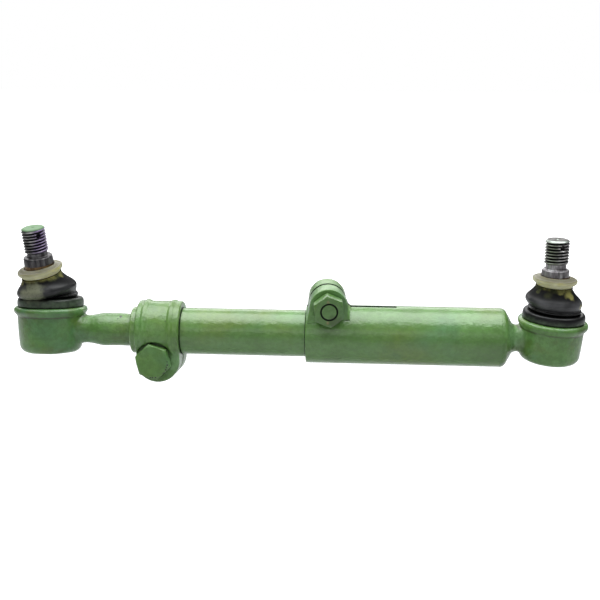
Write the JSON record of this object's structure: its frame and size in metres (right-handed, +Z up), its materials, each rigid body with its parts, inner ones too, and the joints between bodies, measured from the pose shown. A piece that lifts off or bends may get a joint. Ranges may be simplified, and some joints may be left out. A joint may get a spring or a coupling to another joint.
{
  "type": "tie rod",
  "caption": "Adjustable steering tie rod: two telescoping clamped tubes with a ball joint, tapered threaded stud and rubber boot at each end.",
  "frame": {"origin": "base of the right stud's thread, on that stud's axis", "axes": "+Z up along the right stud; the rod lies along X with the other joint at -X; -Y is the side that the picture shows"},
  "size_m": [0.4929, 0.0673, 0.1366],
  "materials": {
    "green_paint": "satin, thick brushed coat over forgings",
    "stud_steel": "dark oiled steel",
    "spring_steel": "plain spring steel",
    "seat_bronze": "greased bearing bronze",
    "boot_rubber": "satin",
    "nylon": "translucent natural nylon"
  },
  "bodies": {
    "outer_rod": {"outer_tube": "green_paint", "right_housing": "green_paint", "front_clamp_ear": "green_paint", "rear_clamp_ear": "green_paint", "ear_clamp_bolt": "green_paint", "ear_clamp_nut": "green_paint", "right_upper_seat": "seat_bronze", "right_lower_seat": "seat_bronze", "right_disc_spring": "spring_steel", "right_cover_plate": "green_paint", "right_foot_ring": "spring_steel"},
    "right_boot_body": {"right_boot": "boot_rubber"},
    "right_ring_body": {"right_dust_ring": "nylon"},
    "right_stud_body": {"right_ball_stud": "stud_steel"},
    "inner_rod": {"inner_tube": "green_paint", "tube_clamp": "green_paint", "tube_clamp_bolt": "green_paint", "tube_clamp_nut": "green_paint"},
    "left_end": {"left_housing": "green_paint", "left_upper_seat": "seat_bronze", "left_lower_seat": "seat_bronze", "left_disc_spring": "spring_steel", "left_cover_plate": "green_paint", "left_foot_ring": "spring_steel"},
    "left_boot_body": {"left_boot": "boot_rubber"},
    "left_ring_body": {"left_dust_ring": "nylon"},
    "left_stud_body": {"left_ball_stud": "stud_steel"}
  },
  "joints": [
    {"name": "rod_slide", "type": "slide", "parent": "outer_rod", "child": "inner_rod", "axis": [-1, 0, 0], "range_m": [-0.03, 0.06]},
    {"name": "left_end_turn", "type": "hinge", "parent": "inner_rod", "child": "left_end", "pos_m": [-0.34, 0, -0.0658], "axis": [1, 0, 0], "range_deg": [-180, 180]},
    {"name": "right_stud_roll", "type": "hinge", "parent": "outer_rod", "child": "right_boot_body", "pos_m": [0, 0, -0.0658], "axis": [1, 0, 0], "range_deg": [-18, 18], "deforming": ["right_boot"]},
    {"name": "right_stud_pitch", "type": "hinge", "parent": "right_boot_body", "child": "right_ring_body", "pos_m": [0, 0, -0.0658], "axis": [0, 1, 0], "range_deg": [-14.5, 21.5], "deforming": ["right_boot"]},
    {"name": "right_stud_spin", "type": "hinge", "parent": "right_ring_body", "child": "right_stud_body", "pos_m": [0, 0, -0.0658], "axis": [0, 0, 1], "continuous": true},
    {"name": "left_stud_roll", "type": "hinge", "parent": "left_end", "child": "left_boot_body", "pos_m": [-0.4313, 0, -0.0658], "axis": [1, 0, 0], "range_deg": [-33.3, 2.7], "deforming": ["left_boot"]},
    {"name": "left_stud_pitch", "type": "hinge", "parent": "left_boot_body", "child": "left_ring_body", "pos_m": [-0.4313, 0, -0.0658], "axis": [0, 1, 0], "range_deg": [-13.4, 22.6], "deforming": ["left_boot"]},
    {"name": "left_stud_spin", "type": "hinge", "parent": "left_ring_body", "child": "left_stud_body", "pos_m": [-0.4313, 0, -0.0658], "axis": [-0.0774, -0.105, 0.9915], "continuous": true}
  ]
}
